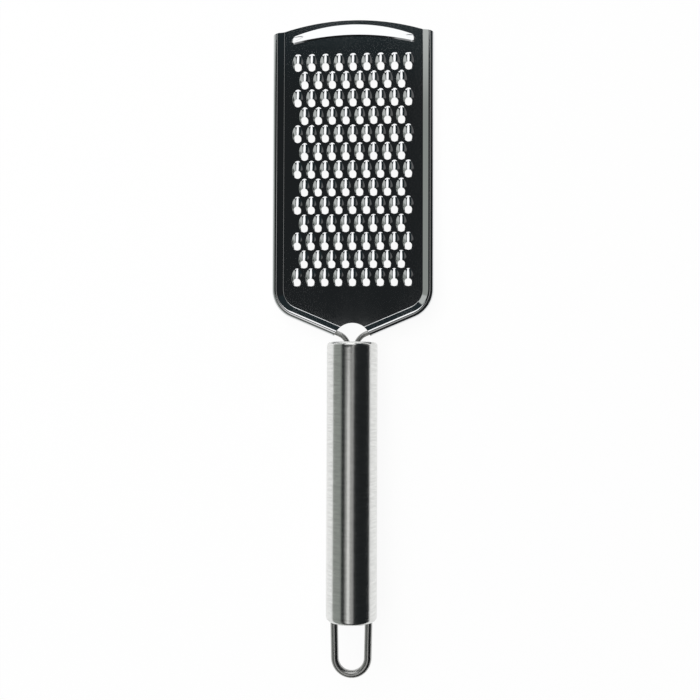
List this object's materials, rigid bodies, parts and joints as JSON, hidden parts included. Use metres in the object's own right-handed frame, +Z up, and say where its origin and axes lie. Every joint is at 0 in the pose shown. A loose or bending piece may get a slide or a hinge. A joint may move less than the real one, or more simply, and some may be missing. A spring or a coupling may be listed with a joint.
{
  "type": "hand grater",
  "caption": "Flat steel hand grater with a toothed plate hemmed round a bent wire frame, a hollow tube handle and a wire hanging loop.",
  "frame": {"origin": "middle of the bounding box on the table plane, with the grater lying on its back on the table", "axes": "+Y from the hanging loop towards the top edge of the grating plate, +Z up out of the toothed face, +X across the plate to the right"},
  "size_m": [0.064, 0.2586, 0.0271],
  "materials": {
    "polished_sheet": "mirror-polished stainless steel sheet",
    "brushed_tube": "finely ground stainless steel tube with a soft shine",
    "drawn_wire": "bright drawn stainless steel wire"
  },
  "bodies": {
    "root": {"grating_plate": "polished_sheet", "frame_wire_left": "drawn_wire", "frame_wire_right": "drawn_wire", "handle_tube": "brushed_tube", "neck_cap": "brushed_tube", "end_cap": "brushed_tube", "hang_loop": "drawn_wire"}
  },
  "joints": []
}
